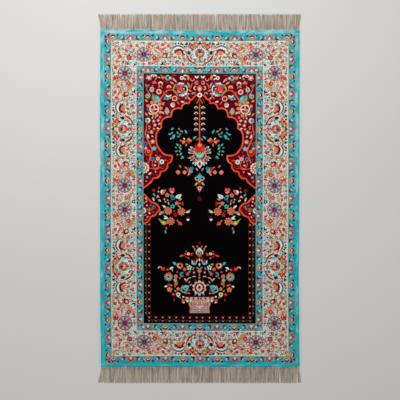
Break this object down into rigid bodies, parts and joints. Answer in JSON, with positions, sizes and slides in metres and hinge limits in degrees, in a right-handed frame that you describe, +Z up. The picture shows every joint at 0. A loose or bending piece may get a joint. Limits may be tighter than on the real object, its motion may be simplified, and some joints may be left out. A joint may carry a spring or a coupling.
{
  "type": "prayer rug",
  "caption": "Flat pile prayer rug, rectangular, with a straight-cut warp fringe lying level along each short end.",
  "frame": {"origin": "centre of the underside, on the surface that the rug lies on", "axes": "+X across the rug, +Y along it towards the niche end, +Z up out of the pile"},
  "size_m": [0.717, 1.301, 0.0059],
  "materials": {
    "pile": "soft short cut pile with a slight sheen, patterned",
    "fringe_yarn": "matt beige plied warp yarn"
  },
  "bodies": {
    "root": {"rug_body": "pile", "fringe_far": "fringe_yarn", "fringe_near": "fringe_yarn"}
  },
  "joints": []
}
